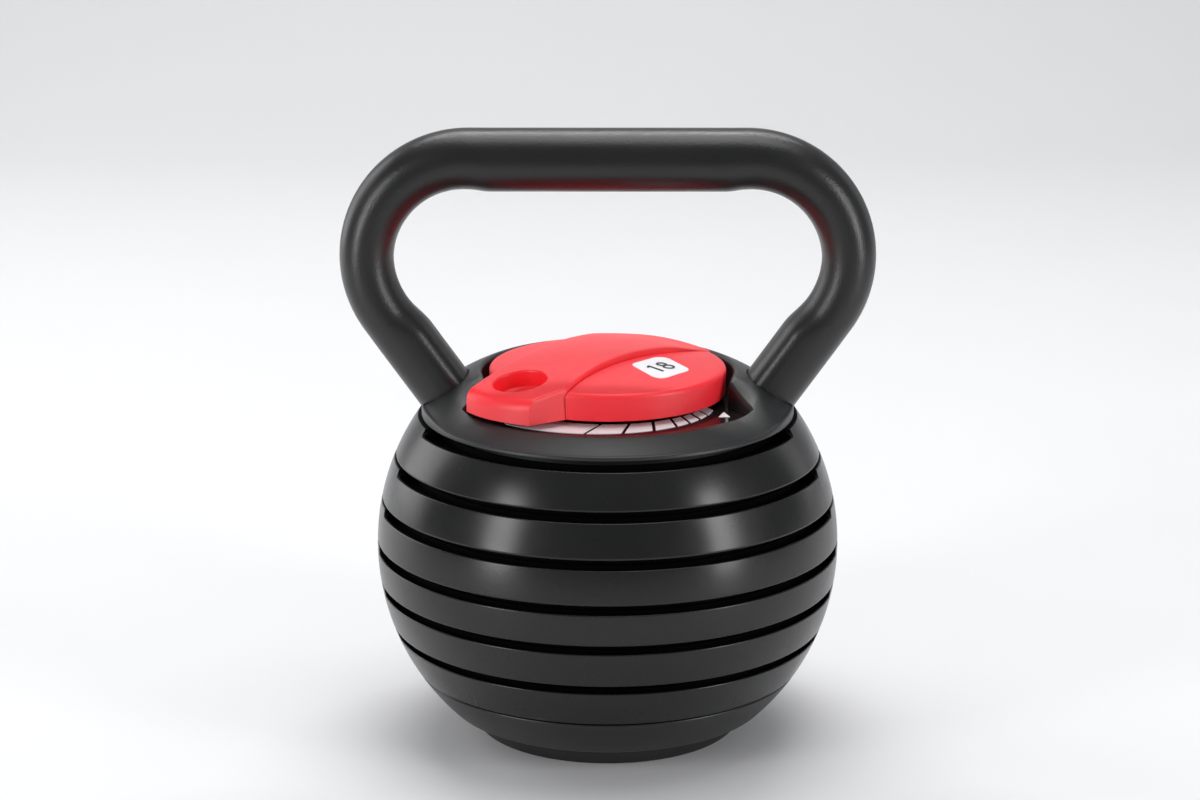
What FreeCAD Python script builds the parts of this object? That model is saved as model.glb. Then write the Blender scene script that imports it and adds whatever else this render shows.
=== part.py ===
"""Adjustable kettlebell: a steel loop handle over a ball of six stacked iron plates on a dock.

Millimetres. Z is up, X runs along the grip, -Y is the front. The origin is the centre of the
dock's foot, on the ground. The handle unit carries a red dial on a spindle. The spindle has one
pair of tabs under each plate's keyhole plate, and turning the dial hooks one more plate a step.
"""
import FreeCAD, Part
import math
import os

V = FreeCAD.Vector
UP = V(0, 0, 1)
ORIGIN = V(0, 0, 0)

# Ball: dock and plates are slices of one sphere
ball_radius = 103.0
ball_height = 84.6
plate_tops = [140.6, 121.4, 102.4, 83.3, 65.3, 45.7]
plate_gap = 3.9
rim_round = 1.4
top_rim_round = 0.6
lowest_bottom = 29.0
nest_depth = 1.5
nest_clearance = 0.5
groove_rim, groove_inset, groove_depth = 1.2, 1.5, 2.6
shoulder_half_angles = [20.0, 16.0, 13.5, 10.5, 13.5, 15.5]
shoulder_rise, shoulder_depth, shoulder_root = 3.1, 6.5, 4.0
land_inset = 9.0
skin = 3.2
wall = 5.0
land_wall = 2.0

# Keyhole plates and the spindle's tabs
key_radius = 24.0
key_thickness = 3.0
key_bore = 8.5
key_reach = 12.9
hub_bore = 13.3
tab_reach = 12.4
tab_half_angle = 14.0
tab_thickness = 4.0
tab_drop = 0.5
tab_azimuth = 90.0
notch_margin = 2.0
step_angle = 14.0
key_screw_circle, key_screw_length = 19.0, 10.0
key_screw_azimuths = (0, 90, 180, 270)

# Dock
dock_top = 28.3
dock_rim_round = 1.0
dock_skirt_bottom = 9.9
dock_skirt_round = 3.0
foot_radius = 58.5
foot_top_radius = 66.5
foot_wall_radius = 50.0
foot_flange_radius = 38.0
foot_flange = 2.0
foot_screw_circle = 44.0
foot_screw_azimuths = (45, 135, 225, 315)
foot_screw_recess, foot_screw_top = 0.4, 12.0
socket_floor = 6.0
socket_bore = 5.0
socket_radius = 13.9
socket_lead, socket_lead_depth = 2.0, 3.0

# Spindle
spindle_end = 10.0
rod_radius = 4.0
journal_radius = 6.0
journal_clearance = 0.05
journal_bottom = 138.7
bush_radius = 9.0
bush_flange_radius = 13.0
bush_flange = 1.5
cam_hub_radius = 8.0
washer_radius, washer_thickness = 7.9, 1.5
nut_height = 6.5
nut_corner = 7.5

# Top cover, its recess and the bracket under it
bracket_radius = 71.2
bracket_bottom = plate_tops[0] - nest_depth
bracket_top = 144.0
skirt_inner = 71.4
skirt_outer = 74.0
lip_radius = 82.5
lip_bottom = 144.4
lip_top = 145.8
front_rim_height = 151.4
front_rim_inner, front_rim_flat = 62.0, 71.0
recess_front = 65.2
recess_corner, recess_corner_azimuth = 69.4, -26.5
floor_height = 150.4
crown_height = 164.0
crown_inner = 55.6
crown_flat = 60.5
crown_edge_height = 148.3
crown_start = -18.2
ramp_end = -40.0
ramp_foot_height, ramp_foot_edge = 151.0, 145.5
crown_bottom = 144.6
hollow_inner, hollow_inner_top = 67.5, 154.4
hollow_outer, hollow_outer_top = 79.5, 147.8
hollow_step = 147.0
screw_recess = 0.2
cover_screw_circle, cover_screw_top = 62.0, 155.2
cover_screw_azimuths = (25, 65, 115, 155)
tray_screw_circle, tray_screw_top = 59.0, 147.0
tray_screw_azimuths = (-45, -90, -135)

# Handle
bar_height = 257.4
bar_radius = 13.9
bend_x = 60.8
bend_z = 214.5
bend_outer = 56.8
bend_start_thickness = 26.8
bend_thickness = 23.7
bend_sections = 8
leg_tilt = 35.5
leg_shift = 1.9
facet_distance = 11.7
tube_wall = 3.0
pinch_length = 9.0
leg_blend = 15.0
socket_gap = 0.25
leg_cover_wall = 2.2
leg_trim_top = 168.0

# Dial
dial_radius = 52.5
dial_bottom = 153.4
dial_wall_top = 165.4
dial_crown = 169.4
arm_crown = 172.2
arm_dome_radius = 74.7
arm_dome_edge = 161.9
arm_floor = 157.4
arm_reach = 70.7
arm_room = 0.7
arm_sweep_floor = 152.4
arm_sweep_start, arm_sweep_end = -153.0, -32.0
hub_radius = 12.0
hub_bottom = 152.9
finger_x, finger_y = -37.9, -34.8
finger_radius = 11.8
finger_floor = 158.9
badge_corners = [(9.9, -14.2), (22.0, -34.3), (36.3, -16.6), (24.2, 3.2)]
badge_round = 3.0
badge_thickness = 0.4
detent_circle = 40.0
detent_radius = 3.0
detent_lift = 0.3
detent_dimple_depth = 0.6
detent_pocket_gap, detent_pocket_depth = 0.3, 5.0
spring_radius, spring_wall = 2.8, 0.7

# Dial arm in plan: the corners of its finger end, then its two long edges
arm_left_end, arm_right_end = (-60.3, -34.6), (-33.3, -58.5)
arm_end_azimuth = -137.5
arm_neck = (-17.0, -48.0)
arm_right_bend, arm_right_back = (8.5, -6.5), (60.0, 30.0)
arm_far_corner = (44.0, 64.0)
arm_left_bend, arm_left_back = (-34.5, 6.5), (-6.0, 62.0)

# Dial bolt
bolt_radius = 2.5
bolt_head_radius = 4.6
bolt_head_room = 5.5
bolt_head_height = 3.5
bolt_length = 10.0

# Scale printed round the recess floor: azimuths of the marks between its cells
scale_marks = [-135.0, -98.4, -83.0, -69.4, -58.0, -50.0, -42.3, -34.5, -24.3]
scale_gap = 1.2
scale_slant = 6.5
scale_inner = 46.0
scale_outer_start, scale_outer_end = 62.6, 51.1
decal_thickness = 0.25
marker_corners = [(48.1, -33.3), (53.0, -33.3), (50.6, -25.5)]

SCREW_RADIUS = 2.0
SCREW_HEAD = 3.5

OVER = 1.0   # how far a cutting body runs past what it cuts
NEAR = 0.01  # tolerance for picking edges


def ball_at(height):
    """Radius of the ball at a height."""
    return math.sqrt(ball_radius ** 2 - (height - ball_height) ** 2)


def polar(radius, azimuth, height=0.0):
    """Point at a radius and an azimuth counted from +X."""
    angle = math.radians(azimuth)
    return V(radius * math.cos(angle), radius * math.sin(angle), height)


def line(a, b):
    return Part.LineSegment(a, b).toShape()


def profile(points):
    """Closed outline of straight edges through (radius, height) points."""
    corners = [V(r, 0, z) for r, z in points]
    return [line(a, b) for a, b in zip(corners, corners[1:] + corners[:1])]


def turned(edges, start=0.0, sweep=360.0):
    """Solid made by turning a half section about the Z axis."""
    solid = Part.Face(Part.Wire(edges)).revolve(ORIGIN, UP, sweep)
    solid.rotate(ORIGIN, UP, start)
    return solid


def ring(inner, outer, bottom, top, start=0.0, sweep=360.0):
    return turned(profile([(inner, bottom), (outer, bottom), (outer, top), (inner, top)]), start, sweep)


def cylinder(radius, bottom, top, x=0.0, y=0.0):
    return Part.makeCylinder(radius, top - bottom, V(x, y, bottom))


def ball_slice(bottom, top, closing, start=0.0, sweep=360.0):
    """Turned solid with the ball's surface from bottom to top, closed by inner points."""
    middle = (bottom + top) / 2
    low, high = V(ball_at(bottom), 0, bottom), V(ball_at(top), 0, top)
    corners = [high] + [V(r, 0, z) for r, z in closing] + [low]
    edges = [Part.Arc(low, V(ball_at(middle), 0, middle), high).toShape()]
    edges += [line(a, b) for a, b in zip(corners, corners[1:])]
    return turned(edges, start, sweep)


def rounded_rims(solid, heights, radius):
    """Round the outer circular edges of a turned solid at the given heights."""
    edges = [e for e in solid.Edges if len(e.Vertexes) == 1 and any(
        abs(e.BoundBox.ZMin - z) < NEAR and abs(e.BoundBox.ZMax - z) < NEAR
        and abs(e.BoundBox.XMax - ball_at(z)) < NEAR for z in heights)]
    return solid.makeFillet(radius, edges)


def screw(x, y, bottom, top, head_down=False):
    """Countersunk screw along Z, with its head at the top or the bottom."""
    shank = cylinder(SCREW_RADIUS, bottom, top, x, y)
    cone_height = SCREW_HEAD - SCREW_RADIUS
    if head_down:
        head = Part.makeCone(SCREW_HEAD, SCREW_RADIUS, cone_height, V(x, y, bottom))
    else:
        head = Part.makeCone(SCREW_RADIUS, SCREW_HEAD, cone_height, V(x, y, top - cone_height))
    return shank.fuse(head)


def screws_on_circle(radius, azimuths, bottom, top, head_down=False):
    spots = [polar(radius, a) for a in azimuths]
    return [screw(p.x, p.y, bottom, top, head_down) for p in spots]


def export(name, *solids):
    """Write one sub-part, made of one or more separate solids."""
    pieces = [piece for solid in solids for piece in solid.Solids]
    shape = pieces[0] if len(pieces) == 1 else Part.makeCompound(pieces)
    shape.exportStep("parts/%s.step" % name)


# ---------------------------------------------------------------- plates

def plate_levels(index):
    """Heights of one plate: rim top and bottom, its land's end, and its keyhole plate."""
    top = plate_tops[index]
    below = plate_tops[index + 1] if index + 1 < len(plate_tops) else dock_top
    last = index + 1 == len(plate_tops)
    bottom = lowest_bottom if last else below + plate_gap
    key_bottom = top - nest_depth - key_thickness
    return top, bottom, below - nest_depth, key_bottom


def land_radius(index):
    """Outer radius of the land that a plate stands on in the piece below it."""
    top, bottom, land_end, key_bottom = plate_levels(index)
    return min(ball_at(bottom), ball_at(land_end + nest_depth)) - land_inset


def nest_radius(index):
    """Radius of the shallow nest in a plate's top, for what stands on it."""
    return (skirt_outer if index == 0 else land_radius(index - 1)) + nest_clearance


def core_outline(index):
    """Points shared by a plate's iron core and the shell moulded round it."""
    top, bottom, land_end, key_bottom = plate_levels(index)
    core_top = top - nest_depth - skin
    core_bottom = bottom + skin
    inner_land = land_radius(index) - land_wall
    low = min(ball_at(core_bottom), ball_at(bottom)) - wall
    high = min(ball_at(core_top), ball_at(top)) - wall
    return [(inner_land, land_end), (inner_land, core_bottom), (low, core_bottom), (high, core_top)]


def plate_shell(index):
    top, bottom, land_end, key_bottom = plate_levels(index)
    outline = core_outline(index)
    seat, nest = key_radius, nest_radius(index)
    land = land_radius(index)
    closing = [(nest, top), (nest, top - nest_depth), (seat, top - nest_depth),
               (seat, outline[3][1]), outline[3], outline[2], outline[1], outline[0],
               (land, land_end), (land, bottom)]
    shell = ball_slice(bottom, top, closing)
    shell = rounded_rims(shell, [bottom], rim_round)
    shell = rounded_rims(shell, [top], top_rim_round)
    shell = shell.cut(ring(nest + groove_inset, ball_at(top) - groove_rim, top - groove_depth, top + OVER))
    for side in (0.0, 180.0):
        shell = shell.fuse(shoulder(top, shoulder_half_angles[index], side))
    return shell.removeSplitter()


def shoulder(top, half_angle, side):
    """Raised block on a plate's rim that carries the ball's surface across the gap above."""
    inner = ball_at(top) - shoulder_depth
    low, high = top - shoulder_root, top + shoulder_rise
    return ball_slice(low, high, [(inner, high), (inner, low)], side - half_angle, 2 * half_angle)


def plate_core(index, screws):
    top, bottom, land_end, key_bottom = plate_levels(index)
    outline = core_outline(index)
    seat = [(key_radius, outline[3][1]), (key_radius, key_bottom), (hub_bore, key_bottom)]
    core = turned(profile([(hub_bore, land_end)] + outline + seat))
    for piece in screws:
        core = core.cut(piece)
    return core


def key_plate(index, screws):
    """Steel keyhole plate. Its two notches are wider the lower the plate is in the stack."""
    key_bottom = plate_levels(index)[3]
    key_top = key_bottom + key_thickness
    plate = ring(key_bore, key_radius, key_bottom, key_top)
    half = tab_half_angle + notch_margin
    sweep = 2 * half + index * step_angle
    for side in (0.0, 180.0):
        start = tab_azimuth + side - half
        plate = plate.cut(ring(key_bore - OVER, key_reach, key_bottom - OVER, key_top + OVER, start, sweep))
    for piece in screws:
        plate = plate.cut(piece)
    return plate


def make_plates():
    for index in range(len(plate_tops)):
        key_top = plate_levels(index)[3] + key_thickness
        screws = screws_on_circle(key_screw_circle, key_screw_azimuths, key_top - key_screw_length, key_top)
        name = "plate_%d_" % (index + 1)
        export(name + "core", plate_core(index, screws))
        export(name + "shell", plate_shell(index))
        export(name + "keyhole", key_plate(index, screws))
        export(name + "screws", *screws)


# ---------------------------------------------------------------- dock

def make_dock():
    nest = land_radius(len(plate_tops) - 1) + nest_clearance
    seat = dock_top - nest_depth
    closing = [(nest, dock_top), (nest, seat), (socket_radius, seat), (socket_radius, socket_floor),
               (0, socket_floor), (0, foot_flange), (foot_wall_radius, foot_flange),
               (foot_wall_radius, dock_skirt_bottom)]
    dish = rounded_rims(ball_slice(dock_skirt_bottom, dock_top, closing), [dock_top], dock_rim_round)
    dish = rounded_rims(dish, [dock_skirt_bottom], dock_skirt_round)
    screws = screws_on_circle(foot_screw_circle, foot_screw_azimuths, foot_screw_recess,
                              foot_screw_top, head_down=True)
    foot = turned(profile([(foot_flange_radius, 0), (foot_radius, 0), (foot_top_radius, dock_skirt_bottom),
                           (foot_wall_radius, dock_skirt_bottom), (foot_wall_radius, foot_flange),
                           (foot_flange_radius, foot_flange)]))
    for piece in screws:
        dish = dish.cut(piece)
        foot = foot.cut(piece)
    for azimuth in foot_screw_azimuths:
        spot = polar(foot_screw_circle, azimuth)
        foot = foot.cut(cylinder(SCREW_HEAD, 0, foot_screw_recess, spot.x, spot.y))
    socket = turned(profile([(socket_bore, socket_floor), (socket_radius, socket_floor),
                             (socket_radius, seat), (socket_bore + socket_lead, seat),
                             (socket_bore, seat - socket_lead_depth)]))
    export("dock_dish", dish)
    export("dock_foot", foot)
    export("dock_socket", socket)
    export("dock_screws", *screws)


# ---------------------------------------------------------------- handle

def oval_face(centre, along, half_in_plane, half_across):
    """Oval section of the handle, square to a direction in the XZ plane."""
    in_plane = V(along.z, 0, -along.x)
    if half_in_plane >= half_across:
        major, radii = in_plane, (half_in_plane, half_across)
    else:
        major, radii = V(0, 1, 0), (half_across, half_in_plane)
    if radii[0] - radii[1] < NEAR:
        return Part.Wire(Part.Circle(centre, along, radii[0]).toShape())
    minor = along.cross(major)
    curve = Part.Ellipse(centre + major * radii[0], centre + minor * radii[1], centre)
    return Part.Wire(curve.toShape())


def bend_section(fraction, shrink):
    """Oval section at a fraction of the bend, which is thickest where it leaves the bar."""
    degrees = (90 + leg_tilt) * fraction
    taper = min(1.0, degrees / 90)
    thickness = bend_start_thickness + (bend_thickness - bend_start_thickness) * taper
    turn = math.radians(degrees)
    outward, along = V(math.sin(turn), 0, math.cos(turn)), V(math.cos(turn), 0, -math.sin(turn))
    centre = V(bend_x, 0, bend_z) + outward * (bend_outer - thickness / 2)
    return oval_face(centre, along, thickness / 2 - shrink, bar_radius - shrink)


def handle_side(shrink):
    """Right half of the handle tube as a solid, thinner all round by shrink."""
    half = bend_thickness / 2
    along_bar = V(1, 0, 0)
    tilt = math.radians(leg_tilt)
    down_leg = V(-math.sin(tilt), 0, -math.cos(tilt))
    inward = V(-math.cos(tilt), 0, math.sin(tilt))
    bend_centre = V(bend_x, 0, bend_z)

    bar_end = V(bend_x - pinch_length, 0, bar_height)
    bar = Part.makeCylinder(bar_radius - shrink, bar_end.x, V(0, 0, bar_height), along_bar)
    bar_section = oval_face(bar_end, along_bar, bar_radius - shrink, bar_radius - shrink)
    sections = [bend_section(step / bend_sections, shrink) for step in range(bend_sections + 1)]
    pinch = Part.makeLoft([bar_section, sections[0]], True)
    bend = Part.makeLoft(sections, True)

    bend_end = bend_centre - inward * (bend_outer - half)
    leg_start = bend_end + down_leg * leg_blend + inward * leg_shift
    leg_radius = bar_radius - shrink
    end_section = oval_face(bend_end, down_leg, half - shrink, leg_radius)
    leg_section = oval_face(leg_start, down_leg, leg_radius, leg_radius)
    blend = Part.makeLoft([end_section, leg_section], True)
    length = (leg_start.z - bracket_top) / math.cos(tilt) + 2 * bar_radius
    leg = blend.fuse(Part.makeCylinder(leg_radius, length, leg_start, down_leg))
    facet_top = leg_start + inward * (facet_distance - shrink) - down_leg * leg_blend
    leg = leg.cut(facet_block(facet_top, inward, down_leg, 4 * bar_radius, length + leg_blend))
    return bar.fuse([pinch, bend, leg])


def facet_block(corner, inward, down_leg, side, length):
    """Block on the inner side of a leg, with one face at the leg's flat facet."""
    outline = [corner + V(0, side / 2, 0), corner - V(0, side / 2, 0)]
    outline += [outline[1] + inward * side, outline[0] + inward * side]
    face = Part.Face(Part.makePolygon(outline + outline[:1]))
    return face.extrude(down_leg * length)


def mirrored_x(shape):
    return shape.mirror(ORIGIN, V(1, 0, 0))


def recess_prism(offset, bottom, top):
    """Upright block with the plan of the dial recess, grown outwards by offset."""
    front, back = recess_corner + offset, crown_inner + offset
    right_front, right_back = polar(front, recess_corner_azimuth, bottom), polar(back, crown_start, bottom)
    left_front, left_back = [V(-p.x, p.y, bottom) for p in (right_front, right_back)]
    edges = [Part.Arc(left_front, V(0, -recess_front - offset, bottom), right_front).toShape(),
             line(right_front, right_back),
             Part.Arc(right_back, polar(back, 90, bottom), left_back).toShape(),
             line(left_back, left_front)]
    return Part.Face(Part.Wire(edges)).extrude(V(0, 0, top - bottom))


def handle_outside(shrink, floor, recess_offset):
    """Whole handle as a solid block, cut off at a floor height and beside the dial recess."""
    side = handle_side(shrink)
    whole = side.fuse(mirrored_x(side))
    reach = 2 * (bend_x + bend_outer)
    whole = whole.cut(Part.makeBox(2 * reach, reach, reach, V(-reach, -reach / 2, floor - reach)))
    return whole.cut(recess_prism(recess_offset, floor - OVER, leg_trim_top))


def handle_tube():
    outside = handle_outside(0.0, bracket_top, leg_cover_wall)
    return outside.cut(handle_outside(tube_wall, bracket_top - OVER, leg_cover_wall + tube_wall))


# ---------------------------------------------------------------- cover, floor and bracket

def crown_section(inner, flat, top, edge):
    """Section of the crown: inner face, flat top out to a radius, slope to the lip, underside."""
    return [(inner, crown_bottom), (inner, top), (flat, top), (lip_radius, edge),
            (lip_radius, lip_bottom), (skirt_inner, lip_bottom)]


def radial_wire(points, azimuth):
    corners = [V(r, 0, z) for r, z in points]
    wire = Part.makePolygon(corners + corners[:1])
    wire.rotate(ORIGIN, UP, azimuth)
    return wire


def cover_ramp():
    """Slope on the right side from the front rim up to the crown."""
    fall = (crown_height - crown_edge_height) / (lip_radius - crown_flat)
    ridge = front_rim_inner + OVER
    ridge_height = crown_height - fall * (ridge - crown_flat)
    high = crown_section(front_rim_inner, ridge, ridge_height, crown_edge_height)
    low = crown_section(front_rim_inner, ridge, ramp_foot_height, ramp_foot_edge)
    return Part.makeLoft([radial_wire(low, ramp_end), radial_wire(high, crown_start)], True, True)


def top_cover(screws):
    base = turned(profile([(front_rim_inner, bracket_top), (front_rim_inner, front_rim_height),
                           (front_rim_flat, front_rim_height), (lip_radius, lip_top),
                           (lip_radius, lip_bottom), (skirt_outer, lip_bottom),
                           (skirt_outer, bracket_bottom), (skirt_inner, bracket_bottom),
                           (skirt_inner, bracket_top)]))
    crown = crown_section(crown_inner, crown_flat, crown_height, crown_edge_height)
    crown = turned(profile(crown), crown_start, 180 - 2 * crown_start)
    ramp = cover_ramp()
    cover = base.fuse([crown, ramp, mirrored_x(ramp)])
    cover = cover.cut(recess_prism(0.0, bracket_top - OVER, crown_height + OVER))
    cover = cover.cut(ring(hub_radius, arm_reach + arm_room, arm_sweep_floor, crown_height + OVER,
                           arm_sweep_start, arm_sweep_end - arm_sweep_start))
    hollow = profile([(hollow_inner, bracket_top), (hollow_inner, hollow_inner_top),
                      (hollow_outer, hollow_outer_top), (hollow_outer, hollow_step),
                      (skirt_inner, hollow_step), (skirt_inner, bracket_top)])
    cover = cover.cut(turned(hollow, 0.0, 180.0))
    cover = cover.cut(handle_outside(-socket_gap, bracket_top - OVER, leg_cover_wall - socket_gap))
    for piece in screws:
        cover = cover.cut(piece)
    return cover


def floor_tray(screws):
    """Glossy floor of the recess, with a dimple for the detent ball at each dial step."""
    tray = recess_prism(0.0, bracket_top, floor_height)
    tray = tray.cut(cylinder(bush_radius, bracket_top - OVER, floor_height + OVER))
    dimple_height = floor_height + detent_radius - detent_dimple_depth
    for step in range(len(plate_tops) + 1):
        spot = polar(detent_circle, tab_azimuth + step * step_angle, dimple_height)
        tray = tray.cut(Part.makeSphere(detent_radius, spot))
    for piece in screws:
        tray = tray.cut(piece)
    return tray


def handle_bracket(screws):
    plate = ring(bush_radius, bracket_radius, bracket_bottom, bracket_top)
    for piece in screws:
        plate = plate.cut(piece)
    return plate


def spindle_bush():
    bore = journal_radius + journal_clearance
    return turned(profile([(bore, bracket_bottom), (bush_radius, bracket_bottom),
                           (bush_radius, floor_height), (bush_flange_radius, floor_height),
                           (bush_flange_radius, floor_height + bush_flange),
                           (bore, floor_height + bush_flange)]))


def scale_outer(azimuth):
    """Outer radius of the scale, which closes in on the dial towards its far end."""
    fraction = (azimuth - scale_marks[0]) / (scale_marks[-1] - scale_marks[0])
    return scale_outer_start + (scale_outer_end - scale_outer_start) * fraction ** 2


def scale_cell(index):
    """One white cell of the scale, with slanted ends."""
    begin, finish = scale_marks[index], scale_marks[index + 1] - scale_gap
    middle = (begin + finish) / 2
    z = floor_height
    inner = [polar(scale_inner, a + scale_slant, z) for a in (begin, middle, finish)]
    outer = [polar(scale_outer(a), a, z) for a in (begin, middle, finish)]
    edges = [Part.Arc(*inner).toShape(), line(inner[2], outer[2]),
             Part.Arc(*outer).toShape(), line(outer[0], inner[0])]
    return Part.Face(Part.Wire(Part.sortEdges(edges)[0])).extrude(V(0, 0, decal_thickness))


def scale_marker():
    """Small white triangle on the floor that points at the dial."""
    corners = [V(x, y, floor_height) for x, y in marker_corners]
    return Part.Face(Part.makePolygon(corners + corners[:1])).extrude(V(0, 0, decal_thickness))


def make_handle_unit():
    head = bracket_bottom + screw_recess
    cover_screws = screws_on_circle(cover_screw_circle, cover_screw_azimuths, head, cover_screw_top, True)
    tray_screws = screws_on_circle(tray_screw_circle, tray_screw_azimuths, head, tray_screw_top, True)
    screws = cover_screws + tray_screws
    export("handle_tube", handle_tube())
    export("handle_bracket", handle_bracket(screws))
    export("top_cover", top_cover(cover_screws))
    export("recess_floor", floor_tray(tray_screws))
    export("cover_screws", *screws)
    export("spindle_bush", spindle_bush())
    export("scale_print", *[scale_cell(i) for i in range(len(scale_marks) - 1)])
    export("scale_marker", scale_marker())


# ---------------------------------------------------------------- dial

def dome(edge_radius, edge_height, crown, bottom):
    """Turned block from a flat bottom to a shallow spherical top."""
    rise = crown - edge_height
    sphere_radius = (edge_radius ** 2 + rise ** 2) / (2 * rise)
    half = edge_radius / 2
    middle = crown - sphere_radius + math.sqrt(sphere_radius ** 2 - half ** 2)
    apex, edge = V(0, 0, crown), V(edge_radius, 0, edge_height)
    edges = [Part.Arc(apex, V(half, 0, middle), edge).toShape(), line(edge, V(edge_radius, 0, bottom)),
             line(V(edge_radius, 0, bottom), V(0, 0, bottom)), line(V(0, 0, bottom), apex)]
    return turned(edges)


def arm_plan(bottom, top):
    """Upright block with the arm's sweeping plan, from the finger end to the dial's far edge."""
    left_end, right_end, neck, right_bend, right_back, far, left_back, left_bend = [
        V(x, y, bottom) for x, y in (arm_left_end, arm_right_end, arm_neck, arm_right_bend,
                                     arm_right_back, arm_far_corner, arm_left_back, arm_left_bend)]
    edges = [Part.Arc(left_end, polar(arm_reach, arm_end_azimuth, bottom), right_end).toShape(),
             line(right_end, neck), Part.Arc(neck, right_bend, right_back).toShape(),
             line(right_back, far), line(far, left_back),
             Part.Arc(left_back, left_bend, left_end).toShape()]
    return Part.Face(Part.Wire(edges)).extrude(V(0, 0, top - bottom))


def dial_pockets(bottom):
    """Bores in the dial for the bolt's head and for the detent ball with its spring."""
    spot = polar(detent_circle, tab_azimuth)
    bore = detent_radius + detent_pocket_gap
    head = cylinder(bolt_head_room, arm_floor - OVER, arm_floor + bolt_head_height + OVER)
    return [head, cylinder(bore, bottom - OVER, arm_floor + detent_pocket_depth, spot.x, spot.y)]


def dial_disk():
    disk = dome(dial_radius, dial_wall_top, dial_crown, dial_bottom)
    disk = disk.fuse(cylinder(hub_radius, hub_bottom, dial_bottom))
    disk = disk.cut(arm_plan(arm_floor, arm_crown + OVER))
    disk = disk.cut(cylinder(journal_radius, hub_bottom - OVER, arm_floor + OVER))
    for pocket in dial_pockets(dial_bottom):
        disk = disk.cut(pocket)
    return disk


def dial_arm():
    """Raised grip that crosses the dial, with the finger hole in its overhanging end."""
    above = arm_crown + OVER
    arm = arm_plan(dial_bottom, above)
    arm = arm.common(dome(arm_dome_radius, arm_dome_edge, arm_crown, dial_bottom))
    on_disk = arm.common(cylinder(dial_radius, arm_floor, above))
    reach = 2 * arm_dome_radius
    front = Part.makeBox(2 * reach, reach, above, V(-reach, -reach, 0))
    overhang = arm.cut(cylinder(dial_radius, dial_bottom - OVER, above)).common(front)
    arm = on_disk.fuse(overhang).removeSplitter()
    arm = arm.cut(cylinder(finger_radius, finger_floor, above, finger_x, finger_y))
    for pocket in dial_pockets(arm_floor):
        arm = arm.cut(pocket)
    return arm


def dial_badge():
    """Thin four-sided label with round corners, laid on the dial's dome."""
    corners = [V(x, y, dial_bottom) for x, y in badge_corners]
    block = Part.Face(Part.makePolygon(corners + corners[:1])).extrude(V(0, 0, arm_crown - dial_bottom))
    upright = [e for e in block.Edges if abs(e.tangentAt(e.FirstParameter).z) > 1 - NEAR]
    block = block.makeFillet(badge_round, upright)
    under = dome(dial_radius, dial_wall_top, dial_crown, dial_bottom)
    over = under.copy()
    over.translate(V(0, 0, badge_thickness))
    return block.common(over).cut(under)


def spindle():
    rod = cylinder(rod_radius, spindle_end, journal_bottom)
    return rod.fuse(cylinder(journal_radius, journal_bottom, arm_floor)).removeSplitter()


def lock_cam(index):
    top = plate_levels(index)[3] - tab_drop
    bottom = top - tab_thickness
    cam = ring(rod_radius, cam_hub_radius, bottom, top)
    for side in (0.0, 180.0):
        start = tab_azimuth + side - tab_half_angle
        cam = cam.fuse(ring(cam_hub_radius - OVER, tab_reach, bottom, top, start, 2 * tab_half_angle))
    return cam.removeSplitter()


def cam_spacers():
    """Tubes on the spindle that hold the cams at their heights."""
    tops = [plate_levels(i)[3] - tab_drop for i in range(len(plate_tops))]
    upper = [journal_bottom] + [top - tab_thickness for top in tops[:-1]]
    return [ring(rod_radius, cam_hub_radius, low, high) for low, high in zip(tops, upper)]


def spindle_nut(top):
    corners = [polar(nut_corner, 60 * i, top - nut_height) for i in range(6)]
    nut = Part.Face(Part.makePolygon(corners + corners[:1])).extrude(V(0, 0, nut_height))
    return nut.cut(cylinder(rod_radius, top - nut_height - OVER, top + OVER))


def detent_spring(spot, bottom, top):
    """Close-wound spring as a thin tube of its outer size."""
    tube = cylinder(spring_radius, bottom, top, spot.x, spot.y)
    return tube.cut(cylinder(spring_radius - spring_wall, bottom - OVER, top + OVER, spot.x, spot.y))


def make_selector():
    lowest_cam = plate_levels(len(plate_tops) - 1)[3] - tab_drop - tab_thickness
    washer_bottom = lowest_cam - washer_thickness
    dial_bolt = cylinder(bolt_head_radius, arm_floor, arm_floor + bolt_head_height)
    dial_bolt = dial_bolt.fuse(cylinder(bolt_radius, arm_floor - bolt_length, arm_floor))
    detent = polar(detent_circle, tab_azimuth, floor_height + detent_lift + detent_radius)
    spring_bottom = detent.z + detent_radius
    export("dial_disk", dial_disk())
    export("dial_arm", dial_arm())
    export("dial_badge", dial_badge())
    export("dial_bolt", dial_bolt)
    export("spindle", spindle().cut(dial_bolt))
    export("lock_cams", *[lock_cam(i) for i in range(len(plate_tops))])
    export("cam_spacers", *cam_spacers())
    export("spindle_washer", ring(rod_radius, washer_radius, washer_bottom, lowest_cam))
    export("spindle_nut", spindle_nut(washer_bottom))
    export("detent_ball", Part.makeSphere(detent_radius, detent))
    export("detent_spring", detent_spring(detent, spring_bottom, arm_floor + detent_pocket_depth))


def main():
    os.makedirs("parts", exist_ok=True)
    make_dock()
    make_plates()
    make_handle_unit()
    make_selector()


main()
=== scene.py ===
"""Looks of the adjustable kettlebell: black ring shells, powder-coated handle, red selector dial."""

import math

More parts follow.
